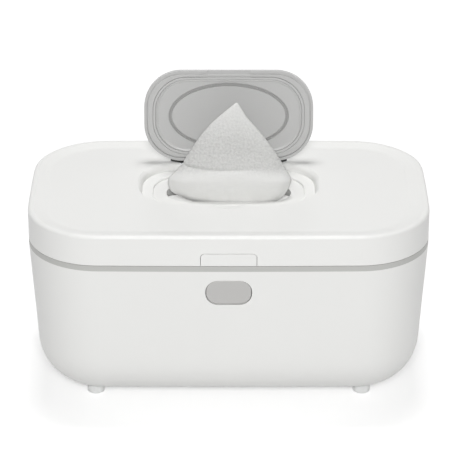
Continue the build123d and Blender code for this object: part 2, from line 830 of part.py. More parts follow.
# finger notch: a shallow scoop in front of the recess
half_notch = notch_width / 2
scoop_plan_radius = (half_notch**2 + notch_reach**2) / (2 * notch_reach)
scoop_lift = (scoop_plan_radius**2 - notch_depth**2) / (2 * notch_depth)
scoop_radius = (scoop_plan_radius**2 + scoop_lift**2) ** 0.5
with BuildPart() as finger_scoop:
    with Locations((0, recess_front - notch_reach + scoop_plan_radius, panel_z + scoop_lift)):
        Sphere(scoop_radius)
    split(bisect_by=Plane.XZ.offset(-recess_front - fit_gap), keep=Keep.TOP)

with BuildPart() as lid_outer:
    with BuildSketch(level(lid_edge_z)):
        add(outline())
    extrude(amount=rim_height - lid_edge_z)
    fillet(lid_outer.faces().sort_by(Axis.Z)[-1].edges(), rim_round)
    add(basin.part, mode=Mode.SUBTRACT)
    fillet(lid_outer.faces().filter_by(Axis.Z).sort_by(Axis.Z)[-2].edges(), rim_blend)
    with BuildSketch(level(lid_edge_z)):
        add(outline(lid_wall))
    extrude(amount=panel_z - lid_wall - lid_edge_z, mode=Mode.SUBTRACT)
    # screw posts for the inner pan
    with BuildSketch(level(panel_z - lid_wall)):
        with GridLocations(pan_screw_x, pan_screw_y, 2, 3):
            Circle(boss_radius)
    extrude(amount=-post_length)
    with BuildSketch(level(pan_top)):
        with GridLocations(pan_screw_x, pan_screw_y, 2, 3):
            Circle(screw_radius + running_gap)
    extrude(amount=screw_length - pan_thickness, mode=Mode.SUBTRACT)
    # recess with its hinge pocket, well and dispensing opening
    with BuildSketch(level(recess_under)):
        with Locations((0, recess_middle)):
            RectangleRounded(
                recess_width + 2 * recess_wall,
                recess_rear - recess_front + 2 * recess_wall,
                recess_corner + recess_wall,
            )
    extrude(amount=panel_z - lid_wall / 2 - recess_under)
    add(hinge_pocket(recess_wall, recess_floor - recess_wall))
    add(recess.part, mode=Mode.SUBTRACT)
    add(hinge_pocket(0, recess_floor), mode=Mode.SUBTRACT)
    with BuildSketch(level(well_floor)):
        with Locations((0, flip_centre_y)):
            RectangleRounded(well_width, well_depth, well_corner)
    extrude(amount=well_drop, mode=Mode.SUBTRACT)
    with BuildSketch(level(recess_under)):
        add(slot_outline())
    extrude(amount=well_drop + recess_wall, mode=Mode.SUBTRACT)
    add(finger_scoop.part, mode=Mode.SUBTRACT)
    # blind holes for the flip lid's pin
    add(
        rod(flip_axis_y, flip_axis_z, flip_pin_radius + running_gap, -flip_pin_half, flip_pin_half),
        mode=Mode.SUBTRACT,
    )
    # opening for the latch tab
    with BuildSketch(Plane.XZ.offset(body_depth / 2 - 2 * lid_wall)):
        with Locations((0, lid_edge_z + (tab_height - tab_corner + seam_gap) / 2)):
            Rectangle(tab_width + 2 * seam_gap, tab_height - tab_corner + seam_gap)
        with Locations((0, lid_edge_z + (tab_height + seam_gap) / 2)):
            RectangleRounded(tab_width + 2 * seam_gap, tab_height + seam_gap, tab_corner + seam_gap)
    extrude(amount=3 * lid_wall, mode=Mode.SUBTRACT)
    # clearance round the rear hinge axis, then the two knuckles
    add(rod(lid_axis_y, lid_axis_z, rear_relief, -body_width / 2, body_width / 2), mode=Mode.SUBTRACT)
    for centre in hinge_centres:
        add(
            rod(
                lid_axis_y, lid_axis_z, lid_barrel_radius,
                centre - knuckle_width / 2, centre + knuckle_width / 2,
            )
        )
    with BuildSketch(level(lid_axis_z)):
        with Locations((0, body_depth / 2 - (lid_wall + lid_axis_inset) / 2)):
            with GridLocations(hinge_spread, 1, 2, 1):
                Rectangle(knuckle_width, lid_wall + lid_axis_inset - 2 * seam_gap)
    extrude(amount=2 * lid_axis_inset)
    for centre in hinge_centres:
        add(
            rod(lid_axis_y, lid_axis_z, lid_pin_radius + running_gap, centre - pin_half, centre + pin_half),
            mode=Mode.SUBTRACT,
        )
lid_outer.part.label = "lid_outer"
export_step(lid_outer.part, "parts/lid_outer.step")

with BuildPart() as lid_inner:
    with BuildSketch(level(pan_top - pan_thickness)):
        add(outline(pan_inset))
    extrude(amount=pan_thickness)
    # collar round the dispensing opening, up to the floor of the recess
    with BuildSketch(level(pan_top)):
        add(slot_outline(recess_wall))
    extrude(amount=recess_under - pan_top)
    with BuildSketch(level(pan_top - pan_thickness)):
        add(slot_outline())
    extrude(amount=recess_under - pan_top + pan_thickness, mode=Mode.SUBTRACT)
    with BuildSketch(level(pan_top - pan_thickness)):
        with GridLocations(pan_screw_x, pan_screw_y, 2, 3):
            Circle(screw_radius + fit_gap)
    extrude(amount=pan_thickness, mode=Mode.SUBTRACT)
lid_inner.part.label = "lid_inner"
export_step(lid_inner.part, "parts/lid_inner.step")

pan_underside = Plane(origin=(0, 0, pan_top - pan_thickness), x_dir=(1, 0, 0), z_dir=(0, 0, -1))
lid_screws = screws(pan_underside, grid(pan_screw_x, 2 * pan_screw_y) + [
    (-pan_screw_x / 2, 0), (pan_screw_x / 2, 0)
])
lid_screws.label = "lid_screws"
export_step(lid_screws, "parts/lid_screws.step")

gasket_outer = tub_margin - gasket_inset - gasket_width
with BuildPart() as lid_gasket:
    with BuildSketch(level(pan_top - pan_thickness - gasket_height)):
        add(outline(gasket_outer))
        add(outline(gasket_outer + gasket_width), mode=Mode.SUBTRACT)
    extrude(amount=gasket_height)
    fillet(lid_gasket.faces().sort_by(Axis.Z)[0].edges(), gasket_height / 3)
lid_gasket.part.label = "lid_gasket"
export_step(lid_gasket.part, "parts/lid_gasket.step")

with BuildPart() as latch_tab:
    # outer plate, flush with the lid's skirt
    with BuildSketch(Plane.XZ.offset(body_depth / 2 - lid_wall)):
        with Locations((0, lid_edge_z + (tab_height - tab_corner) / 2)):
            Rectangle(tab_width, tab_height - tab_corner)
        with Locations((0, lid_edge_z + tab_height / 2)):
            RectangleRounded(tab_width, tab_height, tab_corner)
    extrude(amount=2 * lid_wall)
    with BuildSketch(level(lid_edge_z)):
        add(outline())
    extrude(amount=tab_height, mode=Mode.INTERSECT)
    # foot behind the plate and the catch that hangs from it, with its nose
    with BuildSketch(Plane.YZ.offset(-catch_width / 2)):
        with BuildLine():
            Polyline(
                (-(body_depth / 2 - lid_wall), lid_edge_z + catch_lift),
                (-(body_depth / 2 - lid_wall), lid_edge_z + catch_lift + catch_thickness),
                (catch_front + catch_thickness, lid_edge_z + catch_lift + catch_thickness),
                (catch_front + catch_thickness, catch_low + nose),
                (catch_front + catch_thickness + nose, catch_low + nose),
                (catch_front + catch_thickness, catch_low),
                (catch_front, catch_low),
                (catch_front, lid_edge_z + catch_lift),
                close=True,
            )
        make_face()
    extrude(amount=catch_width)
latch_tab.part.label = "latch_tab"
export_step(latch_tab.part, "parts/latch_tab.step")

flip_hinge_pin = rod(flip_axis_y, flip_axis_z, flip_pin_radius, -flip_pin_half, flip_pin_half)
flip_hinge_pin.label = "flip_hinge_pin"
export_step(flip_hinge_pin, "parts/flip_hinge_pin.step")

# ---------------------------------------------------------------- flip lid, drawn open
lean = radians(flip_open_angle)
flip_plane = Plane(origin=(0, flip_axis_y, flip_axis_z), x_dir=(1, 0, 0), z_dir=(0, sin(lean), cos(lean)))
flip_top = panel_z + flip_proud
flip_edge = recess_floor + flip_lift
flip_local_y = flip_centre_y - flip_axis_y
liner_low = flip_edge + liner_sunk


def flip_level(closed_z):
    """The plane that lies at height closed_z when the flip lid is closed."""
    return flip_plane.offset(closed_z - flip_axis_z)


def flip_outline(width, depth, corner):
    """A rounded rectangle centred on the flip lid."""
    with BuildSketch() as plate:
        with Locations((0, flip_local_y)):
            RectangleRounded(width, depth, corner)
    return plate.sketch


flip_axis_line = Axis(flip_plane.origin, flip_plane.z_dir)
with BuildPart() as flip_cover:
    with BuildSketch(flip_level(flip_edge)):
        add(flip_outline(flip_width, flip_depth, flip_corner))
    extrude(amount=flip_top - flip_edge)
    fillet(flip_cover.faces().sort_by(flip_axis_line)[-1].edges(), flip_round)
    with BuildSketch(flip_level(flip_edge)):
        add(flip_outline(flip_width - 2 * flip_wall, flip_depth - 2 * flip_wall, flip_corner - flip_wall))
    extrude(amount=flip_top - flip_top_wall - flip_edge, mode=Mode.SUBTRACT)
    # finger edge: a thicker stretch of the front wall, cut back at its lower edge
    with BuildSketch(flip_level(flip_edge + flip_lip_height)):
        with Locations((0, flip_local_y - flip_depth / 2 + flip_lip_depth / 2)):
            Rectangle(flip_lip_width, flip_lip_depth)
    extrude(amount=flip_top - flip_top_wall - flip_edge - flip_lip_height)
    with BuildSketch(flip_level(flip_edge)):
        with Locations((0, flip_local_y - flip_depth / 2 + flip_lip_depth / 2)):
            Rectangle(flip_lip_width, flip_lip_depth)
    extrude(amount=flip_lip_height, mode=Mode.SUBTRACT)
flip_cover.part.label = "flip_cover"
export_step(flip_cover.part, "parts/flip_cover.step")

lip_centre = (0, flip_local_y - flip_depth / 2 + flip_lip_depth / 2)
liner_width = flip_width - 2 * flip_wall - 2 * fit_gap
liner_depth = flip_depth - 2 * flip_wall - 2 * fit_gap
liner_corner = flip_corner - flip_wall - fit_gap


def seal_oval(extra):
    """The middle band of the oval groove, wider on both sides by extra."""
    with BuildSketch() as band:
        with Locations((0, flip_local_y)):
            Ellipse(seal_width / 2 + extra, seal_depth / 2 + extra)
            Ellipse(seal_width / 2 - seal_band - extra, seal_depth / 2 - seal_band - extra, mode=Mode.SUBTRACT)
    return band.sketch


with BuildPart() as flip_liner:
    with BuildSketch(flip_level(liner_low)):
        add(flip_outline(liner_width, liner_depth, liner_corner))
    extrude(amount=liner_wall)
    # edge wall up to the cover
    with BuildSketch(flip_level(liner_low)):
        add(flip_outline(liner_width, liner_depth, liner_corner))
        add(
            flip_outline(liner_width - 2 * liner_rib, liner_depth - 2 * liner_rib, liner_corner - liner_rib),
            mode=Mode.SUBTRACT,
        )
    extrude(amount=flip_top - flip_top_wall - liner_low)
    with BuildSketch(flip_level(liner_low)):
        with Locations(lip_centre):
            Rectangle(flip_lip_width + 2 * fit_gap, flip_lip_depth + 2 * fit_gap)
    extrude(amount=flip_top - flip_top_wall - liner_low, mode=Mode.SUBTRACT)
    # bead round the face
    with BuildSketch(flip_level(liner_low - bead_height)):
        add(flip_outline(bead_width, bead_depth, bead_corner))
        add(
            flip_outline(bead_width - 2 * liner_rib, bead_depth - 2 * liner_rib, bead_corner - liner_rib),
            mode=Mode.SUBTRACT,
        )
    extrude(amount=bead_height)
    # oval groove with its backing
    with BuildSketch(flip_level(liner_low)):
        add(seal_oval(liner_rib))
    extrude(amount=seal_groove + liner_rib)
    with BuildSketch(flip_level(liner_low)):
        add(seal_oval(0))
    extrude(amount=seal_groove, mode=Mode.SUBTRACT)
flip_liner.part.label = "flip_liner"
export_step(flip_liner.part, "parts/flip_liner.step")

with BuildPart() as flip_seal:
    with BuildSketch(flip_level(liner_low + seal_groove - seal_thickness)):
        add(seal_oval(0))
    extrude(amount=seal_thickness)
flip_seal.part.label = "flip_seal"
export_step(flip_seal.part, "parts/flip_seal.step")

with BuildPart() as flip_hinge_strip:
    # strip round the rear edge of the cover
    with BuildSketch(flip_level(flip_axis_z - strip_height / 2)):
        with Locations((0, flip_local_y)):
            RectangleRounded(
                flip_width + 2 * strip_proud, flip_depth + 2 * strip_proud, flip_corner + strip_proud
            )
        add(flip_outline(flip_width, flip_depth, flip_corner), mode=Mode.SUBTRACT)
        with Locations((0, flip_local_y + flip_depth / 2)):
            Rectangle(strip_width, flip_corner, mode=Mode.INTERSECT)
    extrude(amount=strip_height)
    # barrel on the hinge axis and the web that joins it to the strip
    with BuildSketch(Plane.YZ.offset(-flip_barrel_width / 2)):
        with Locations((flip_axis_y, flip_axis_z)):
            Circle(flip_barrel_radius)
    extrude(amount=flip_barrel_width)
    with BuildSketch(flip_level(flip_axis_z - strip_height / 2)):
        with Locations((0, (flip_local_y + flip_depth / 2) / 2)):
            Rectangle(flip_barrel_width, -(flip_local_y + flip_depth / 2))
    extrude(amount=strip_height)
    with BuildSketch(Plane.YZ.offset(-flip_barrel_width / 2)):
        with Locations((flip_axis_y, flip_axis_z)):
            Circle(flip_pin_radius + running_gap)
    extrude(amount=flip_barrel_width, mode=Mode.SUBTRACT)
flip_hinge_strip.part.label = "flip_hinge_strip"
export_step(flip_hinge_strip.part, "parts/flip_hinge_strip.step")

# ---------------------------------------------------------------- wipe
# A roll that bulges out of the opening over its front edge, and above a crease a folded
# flap that leans back and narrows to a tip.
wipe_front = flip_centre_y - slot_depth / 2 + seam_gap
neck_y = wipe_front + wipe_neck_depth / 2
crease_z = well_floor + wipe_roll_height
flap_height = wipe_height - wipe_roll_height


def wipe_section(height, width, thickness, x, y):
    """One level section through the wipe."""
    with BuildSketch(level(height)) as section:
        with Locations((x, y)):
            Ellipse(width / 2, thickness / 2)
    return section.sketch


# height above the well, width, thickness of each section of the roll
roll_sections = (
    (pan_top - pan_thickness - well_floor, 0.8 * wipe_neck_width, wipe_neck_depth / 2),
    (0.0, wipe_neck_width, wipe_neck_depth),
    (wipe_roll_height / 2, 0.92 * wipe_width, wipe_depth),
    (0.8 * wipe_roll_height, wipe_width, 0.9 * wipe_depth),
    (wipe_roll_height, 0.92 * wipe_width, wipe_depth / 2),
)
# share of the flap's height, then of the wipe's width and of the flap's thickness
flap_sections = ((-0.1, 0.98, 1.0), (0.32, 0.69, 0.85), (0.7, 0.36, 0.6), (1.0, 0.05, 0.2))

with BuildPart() as wipe_roll:
    for height, width, thickness in roll_sections:
        add(wipe_section(well_floor + height, width, thickness, 0, neck_y))
    loft()

with BuildPart() as wipe:
    for rise, width, thickness in flap_sections:
        add(
            wipe_section(
                crease_z + rise * flap_height,
                width * wipe_width,
                thickness * wipe_flap_thickness,
                rise * wipe_lean_side,
                neck_y + rise * wipe_lean_back,
            )
        )
    loft()
    add(wipe_roll.part)
wipe.part.label = "wipe"
export_step(wipe.part, "parts/wipe.step")
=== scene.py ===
"""Baby wipe warmer: the finishes of its mouldings and works, the wipe that stands in its
dispensing opening, and the studio it is shown in. Everything is in metres, in the model's frame."""
from math import cos, exp, pi, radians, sin

import bmesh
import bpy
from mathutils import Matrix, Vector, noise


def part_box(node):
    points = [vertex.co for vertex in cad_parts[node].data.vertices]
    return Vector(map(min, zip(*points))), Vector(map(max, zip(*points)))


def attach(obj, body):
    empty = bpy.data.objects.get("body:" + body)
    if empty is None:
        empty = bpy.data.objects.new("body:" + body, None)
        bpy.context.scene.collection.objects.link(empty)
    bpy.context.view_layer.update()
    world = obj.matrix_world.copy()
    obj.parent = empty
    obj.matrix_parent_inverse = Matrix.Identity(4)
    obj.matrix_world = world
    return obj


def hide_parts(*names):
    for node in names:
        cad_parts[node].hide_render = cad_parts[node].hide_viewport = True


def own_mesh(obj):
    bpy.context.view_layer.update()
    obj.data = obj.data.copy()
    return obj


bl_info = {
    "name": "Wipe Warmer",
    "version": (1, 0, 0),
    "blender": (4, 5, 0),
    "location": "View3D > Sidebar > Wipe Warmer",
    "description": "Finishes, wipe and studio for a heated wipe dispenser",
    "category": "Object",
}

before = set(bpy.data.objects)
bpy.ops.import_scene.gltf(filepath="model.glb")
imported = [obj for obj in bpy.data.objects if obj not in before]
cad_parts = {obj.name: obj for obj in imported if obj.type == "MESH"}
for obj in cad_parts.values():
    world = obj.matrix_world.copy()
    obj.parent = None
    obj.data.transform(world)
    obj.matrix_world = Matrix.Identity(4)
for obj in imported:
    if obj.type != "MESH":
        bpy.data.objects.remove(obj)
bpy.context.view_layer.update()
MM = 0.001


def linear(*levels):
    """An sRGB colour, levels 0 to 255, as the linear values that Blender's colours hold."""
    if len(levels) == 1:
        levels = levels * 3
    shares = [level / 255 for level in levels]
    return tuple(s / 12.92 if s <= 0.04045 else ((s + 0.055) / 1.055) ** 2.4 for s in shares)


def colour_property(name, description, *levels):
    return bpy.props.FloatVectorProperty(
        name=name, description=description, subtype="COLOR", size=3, min=0, max=1, default=linear(*levels)
    )


def length_property(name, description, default):
    return bpy.props.FloatProperty(
        name=name, description=description, subtype="DISTANCE", unit="LENGTH", min=0, default=default
    )


# ---------------------------------------------------------------- values a user would change
class WarmerColours(bpy.types.PropertyGroup):
    """Colours of the mouldings, the works and the wipe."""

    body: colour_property("Body", "White of the outer housing", 236, 236, 234)
    lid: colour_property("Lid", "White of the main lid", 238, 238, 236)
    band: colour_property("Tub", "Grey of the inner tub and its lip", 190, 190, 187)
    button: colour_property("Button", "Grey of the release button", 190, 189, 187)
    # The shell's pale grey copies its rim as it stands in shade: partly painted shade, as the shell's own colour is
    # not known.
    flip_shell: colour_property("Flip lid", "Pale grey of the flip lid's shell", 192, 192, 191)
    flip_inside: colour_property("Flip liner", "Grey of the flip lid's liner", 196, 196, 195)
    seal: colour_property("Gasket", "Grey of the main lid's silicone gasket", 190, 190, 189)
    lipped_seal: colour_property("Seal", "Grey of the flip lid's silicone seal", 184, 184, 183)
    hinge: colour_property("Hinge strip", "Near black of the flip lid's hinge strip", 22, 22, 23)
    feet: colour_property("Feet", "Milky soft plastic of the feet", 238, 239, 238)
    wipe: colour_property("Wipe", "Off white of the non-woven wipe", 230, 230, 228)
    steel: colour_property("Steel", "Pins, screws and spring", 172, 174, 178)
    heat_plate: colour_property("Heat plate", "Aluminium heat plate", 196, 198, 200)
    heater: colour_property("Heater film", "Amber film heater", 188, 112, 40)
    felt: colour_property("Insulation", "Grey insulation felt", 150, 150, 148)
    board: colour_property("Board", "Green of the control board", 24, 92, 58)
    dark_part: colour_property("Dark parts", "Black plastic of small parts", 34, 34, 36)
    works: colour_property("Inner mouldings", "Natural plastic of the hidden mouldings", 205, 203, 196)


class WarmerWipe(bpy.types.PropertyGroup):
    """Sizes of the wipe."""

    thickness: length_property("Thickness", "Thickness of the cloth", 0.0005)
    emboss: length_property("Emboss", "Depth of the embossed pattern", 0.00014)
    emboss_pitch: length_property("Emboss pitch", "Distance between the embossed marks", 0.0015)
    pleat: length_property("Pleats", "Depth of the soft pleats above the opening", 0.0005)
    lip: length_property("Edge", "Width of the turned out side edges", 0.0016)
    cut_width: length_property("Cut width", "Width of the flat cloth", 0.100)
    cut_length: length_property("Cut length", "Length of the flat cloth", 0.100)


class WarmerStudio(bpy.types.PropertyGroup):
    """Camera, floor and lights."""

    lens: bpy.props.FloatProperty(
        name="Lens", description="Focal length", subtype="DISTANCE_CAMERA", unit="CAMERA", default=188.65
    )
    elevation: bpy.props.FloatProperty(
        name="Elevation", description="Camera above the horizon", subtype="ANGLE", default=radians(26.0)
    )
    distance: length_property("Distance", "Camera to the aim point", 1.528)
    aim_height: length_property("Aim height", "Height of the aim point", 0.092)
    floor_size: length_property("Floor", "Width of the floor", 14.0)
    floor: colour_property("Floor", "Floor paint", 240, 240, 240)
    overhead: bpy.props.FloatProperty(name="Overhead", description="Overhead softbox", unit="POWER", default=9.0)
    front: bpy.props.FloatProperty(name="Front", description="Front softbox", unit="POWER", default=28.2)
    ambient: bpy.props.FloatProperty(name="Ambient", description="Strength of the room light", default=0.2)
    lift: bpy.props.FloatProperty(
        name="Floor lift", description="White added to the floor as the camera sees it", default=0.4
    )


# ---------------------------------------------------------------- shared shader effects
def group_sockets(group, inputs, outputs):
    """The named inputs and outputs of a node group."""
    for name, kind, value in inputs:
        socket = group.interface.new_socket(name, in_out="INPUT", socket_type=kind)
        if value is not None:
            socket.default_value = value
    for name, kind in outputs:
        group.interface.new_socket(name, in_out="OUTPUT", socket_type=kind)
    return group.nodes.new("NodeGroupInput"), group.nodes.new("NodeGroupOutput")


def noise_node(tree, vector, scale, detail=2.0, roughness=0.5):
    node = tree.nodes.new("ShaderNodeTexNoise")
    node.inputs["Scale"].default_value = scale
    node.inputs["Detail"].default_value = detail
    node.inputs["Roughness"].default_value = roughness
    tree.links.new(vector, node.inputs["Vector"])
    return node.outputs["Fac"]


def ranged(tree, value, low, high):
    """value, 0 to 1, spread over low to high. low and high are numbers or sockets."""
    node = tree.nodes.new("ShaderNodeMapRange")
    tree.links.new(value, node.inputs["Value"])
    for name, end in (("To Min", low), ("To Max", high)):
        if isinstance(end, bpy.types.NodeSocket):
            tree.links.new(end, node.inputs[name])
        else:
            node.inputs[name].default_value = end
    return node.outputs["Result"]


def math_node(tree, operation, first, second):
    node = tree.nodes.new("ShaderNodeMath")
    node.operation = operation
    for place, value in enumerate((first, second)):
        if isinstance(value, bpy.types.NodeSocket):
            tree.links.new(value, node.inputs[place])
        else:
            node.inputs[place].default_value = value
    return node.outputs["Value"]


def scaled_colour(tree, colour, factor):
    """A colour times a changing factor."""
    node = tree.nodes.new("ShaderNodeVectorMath")
    node.operation = "SCALE"
    tree.links.new(colour, node.inputs[0])
    tree.links.new(factor, node.inputs["Scale"])
    return node.outputs["Vector"]


def bumped(tree, height, distance):
    node = tree.nodes.new("ShaderNodeBump")
    node.inputs["Strength"].default_value = 1.0
    tree.links.new(height, node.inputs["Height"])
    if isinstance(distance, bpy.types.NodeSocket):
        tree.links.new(distance, node.inputs["Distance"])
    else:
        node.inputs["Distance"].default_value = distance
    return node.outputs["Normal"]


def moulded_group():
    """Moulded plastic: a fine spark-eroded grain, slow waviness and faint handling marks."""
    group = bpy.data.node_groups.new("moulded_plastic", "ShaderNodeTree")
    start, end = group_sockets(
        group,
        [
            ("Vector", "NodeSocketVector", None),
            ("Color", "NodeSocketColor", (0.8, 0.8, 0.8, 1)),
            ("Tone", "NodeSocketFloat", 0.02),
            ("Gloss", "NodeSocketFloat", 0.4),
            ("Grain", "NodeSocketFloat", 0.00002),
        ],
        [("Color", "NodeSocketColor"), ("Roughness", "NodeSocketFloat"), ("Normal", "NodeSocketVector")],
    )
    place = start.outputs["Vector"]
    slow = noise_node(group, place, 9.0, detail=3.0)
    marks = noise_node(group, place, 55.0, detail=6.0, roughness=0.7)
    grain = noise_node(group, place, 2600.0, detail=2.0)
    tone_low = math_node(group, "SUBTRACT", 1.0, start.outputs["Tone"])
    tone_high = math_node(group, "ADD", 1.0, start.outputs["Tone"])
    tone = ranged(group, slow, tone_low, tone_high)
    group.links.new(scaled_colour(group, start.outputs["Color"], tone), end.inputs["Color"])
    gloss_low = math_node(group, "MULTIPLY", start.outputs["Gloss"], 0.88)
    gloss_high = math_node(group, "MULTIPLY", start.outputs["Gloss"], 1.14)
    group.links.new(ranged(group, marks, gloss_low, gloss_high), end.inputs["Roughness"])
    group.links.new(bumped(group, grain, start.outputs["Grain"]), end.inputs["Normal"])
    return group


def metal_group():
    """Drawn or rolled metal: fine lines along X with a little mottling."""
    group = bpy.data.node_groups.new("drawn_metal", "ShaderNodeTree")
    start, end = group_sockets(
        group,
        [
            ("Vector", "NodeSocketVector", None),
            ("Color", "NodeSocketColor", (0.5, 0.5, 0.5, 1)),
            ("Gloss", "NodeSocketFloat", 0.3),
        ],
        [("Color", "NodeSocketColor"), ("Roughness", "NodeSocketFloat"), ("Normal", "NodeSocketVector")],
    )
    stretch = group.nodes.new("ShaderNodeMapping")
    stretch.inputs["Scale"].default_value = (0.02, 1.0, 1.0)
    group.links.new(start.outputs["Vector"], stretch.inputs["Vector"])
    lines = noise_node(group, stretch.outputs["Vector"], 4200.0, detail=3.0)
    mottle = noise_node(group, start.outputs["Vector"], 160.0, detail=5.0)
    group.links.new(
        scaled_colour(group, start.outputs["Color"], ranged(group, mottle, 0.88, 1.06)), end.inputs["Color"]
    )
    gloss_low = math_node(group, "MULTIPLY", start.outputs["Gloss"], 0.7)
    gloss_high = math_node(group, "MULTIPLY", start.outputs["Gloss"], 1.4)
    group.links.new(ranged(group, lines, gloss_low, gloss_high), end.inputs["Roughness"])
    group.links.new(bumped(group, lines, 0.00001), end.inputs["Normal"])
    return group


EMBOSS_PAINTED_SHADE = 0.15           # painted shade: how much darker the embossed cloth is drawn, and again in its pressed marks


def fibre_group():
    """Felted fibres: crossing strands, loose and dense places, pressed marks and painted shade where embossed."""
    group = bpy.data.node_groups.new("felted_fibres", "ShaderNodeTree")
    start, end = group_sockets(
        group,
        [
            ("Vector", "NodeSocketVector", None),
            ("Color", "NodeSocketColor", (0.8, 0.8, 0.8, 1)),
            ("Strand Scale", "NodeSocketFloat", 900.0),
            ("Tone", "NodeSocketFloat", 0.06),
            ("Relief", "NodeSocketFloat", 0.0001),
            ("Embossed", "NodeSocketFloat", 0.0),
            ("Emboss Scale", "NodeSocketFloat", 700.0),
            ("Emboss Depth", "NodeSocketFloat", 0.0002),
        ],
        [("Color", "NodeSocketColor"), ("Roughness", "NodeSocketFloat"), ("Normal", "NodeSocketVector")],
    )
    strands = None
    for turn, stretch in ((0.35, 0.12), (-0.6, 0.16)):
        mapping = group.nodes.new("ShaderNodeMapping")
        mapping.inputs["Rotation"].default_value = (0, 0, turn)
        mapping.inputs["Scale"].default_value = (stretch, 1.0, 1.0)
        group.links.new(start.outputs["Vector"], mapping.inputs["Vector"])
        node = group.nodes.new("ShaderNodeTexNoise")
        node.inputs["Detail"].default_value = 2.0
        group.links.new(mapping.outputs["Vector"], node.inputs["Vector"])
        group.links.new(start.outputs["Strand Scale"], node.inputs["Scale"])
        strands = node.outputs["Fac"] if strands is None else math_node(
            group, "MAXIMUM", strands, node.outputs["Fac"]
        )
    dense = noise_node(group, start.outputs["Vector"], 220.0, detail=4.0)
    mixed = math_node(group, "MULTIPLY", math_node(group, "ADD", strands, dense), 0.5)
    tone_low = math_node(group, "SUBTRACT", 1.0, start.outputs["Tone"])
    tone_high = math_node(group, "ADD", 1.0, start.outputs["Tone"])
    spread = ranged(group, mixed, tone_low, tone_high)
    marks = group.nodes.new("ShaderNodeTexNoise")
    marks.inputs["Detail"].default_value = 3.0
    marks.inputs["Roughness"].default_value = 0.6
    group.links.new(start.outputs["Vector"], marks.inputs["Vector"])
    group.links.new(start.outputs["Emboss Scale"], marks.inputs["Scale"])
    pressed = math_node(group, "MULTIPLY", ranged(group, marks.outputs["Fac"], -1.0, 2.0), start.outputs["Embossed"])
    # Painted shade: embossed cloth is drawn darker, and its pressed marks darker still.
    shade = math_node(group, "MULTIPLY", math_node(group, "ADD", pressed, start.outputs["Embossed"]), EMBOSS_PAINTED_SHADE)
    painted_shade_factor = math_node(group, "SUBTRACT", 1.0, shade)
    tone_and_painted_shade = math_node(group, "MULTIPLY", spread, painted_shade_factor)
    group.links.new(scaled_colour(group, start.outputs["Color"], tone_and_painted_shade), end.inputs["Color"])
    group.links.new(ranged(group, dense, 0.82, 0.95), end.inputs["Roughness"])
    raised = bumped(group, strands, start.outputs["Relief"])
    sunk = bumped(group, math_node(group, "SUBTRACT", 1.0, pressed), start.outputs["Emboss Depth"])
    group.links.new(raised, sunk.node.inputs["Normal"])
    group.links.new(sunk, end.inputs["Normal"])
    return group


EFFECTS = {"moulded": moulded_group, "metal": metal_group, "fibre": fibre_group}


def effect(name):
    """A shared effect's node group, built the first time that it is asked for."""
    made = EFFECTS[name]
    if callable(made):
        made = EFFECTS[name] = made()
    return made


def finish_material(name, colour, kind, values, shader=(), on_uv=False):
    """A material from one shared effect. values are the effect's inputs, shader plain sockets."""
    material = bpy.data.materials.new(name)
    material.use_nodes = True
    tree = material.node_tree
    surface = tree.nodes["Principled BSDF"]
    place = tree.nodes.new("ShaderNodeTexCoord")
    pattern = tree.nodes.new("ShaderNodeGroup")
    pattern.node_tree = effect(kind)
    tree.links.new(place.outputs["UV" if on_uv else "Object"], pattern.inputs["Vector"])
    pattern.inputs["Color"].default_value = (*colour, 1)
    for socket, value in values.items():
        pattern.inputs[socket].default_value = value
    tree.links.new(pattern.outputs["Color"], surface.inputs["Base Color"])
    tree.links.new(pattern.outputs["Roughness"], surface.inputs["Roughness"])
    tree.links.new(pattern.outputs["Normal"], surface.inputs["Normal"])
    for socket, value in dict(shader).items():
        surface.inputs[socket].default_value = value
    material.diffuse_color = (*colour, 1)
    return material


def plastic(name, colour, gloss=0.4, grain=0.00002, tone=0.012, **shader):
    return finish_material(name, colour, "moulded", {"Gloss": gloss, "Grain": grain, "Tone": tone}, shader)


def metal(name, colour, gloss=0.3):
    return finish_material(name, colour, "metal", {"Gloss": gloss}, {"Metallic": 1.0})


def paint(material, *nodes):
    """Gives CAD nodes their material."""
    for node in nodes:
        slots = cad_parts[node].data.materials
        slots.clear()
        slots.append(material)


def sized(context):
    return context.scene.warmer_wipe


def coloured(context):
    return context.scene.warmer_colours


# ---------------------------------------------------------------- mouldings and works
SPRING_WIRE = 0.7             # in millimetres, as the part's source has it
SPRING_TURNS = 5
RING_WELD = 1e-7              # joins the two ends of a ring or tube, in metres


class WARMER_OT_casing(bpy.types.Operator):
    """Finishes the outer housing, the bottom cover, the tub with its grey lip and the main lid"""

    bl_idname = "warmer.casing"
    bl_label = "Casing"

    def execute(self, context):
        colours = coloured(context)
        paint(plastic("white_housing", colours.body, gloss=0.42, grain=0.000012), "outer_housing", "bottom_cover")
        paint(plastic("white_lid", colours.lid, gloss=0.36, grain=0.000008), "lid_outer", "latch_tab", "lid_inner")
        paint(plastic("grey_tub", colours.band, gloss=0.4), "inner_tub")
        paint(plastic("silicone_gasket", colours.seal, gloss=0.6, tone=0.02), "lid_gasket")
        return {"FINISHED"}


class WARMER_OT_flip_lid(bpy.types.Operator):
    """Finishes the flip lid: pale grey shell with painted shade, grey liner and dark hinge strip"""

    bl_idname = "warmer.flip_lid"
    bl_label = "Flip lid"

    def execute(self, context):
        colours = coloured(context)
        # Painted shade: the shell is drawn in the grey of its shaded rim.
        paint(plastic("flip_shell_grey_with_painted_shade", colours.flip_shell, gloss=0.36, grain=0.000008), "flip_cover")
        paint(plastic("grey_liner", colours.flip_inside, gloss=0.42), "flip_liner")
        paint(plastic("dark_hinge", colours.hinge, gloss=0.5, tone=0.08), "flip_hinge_strip")
        return {"FINISHED"}


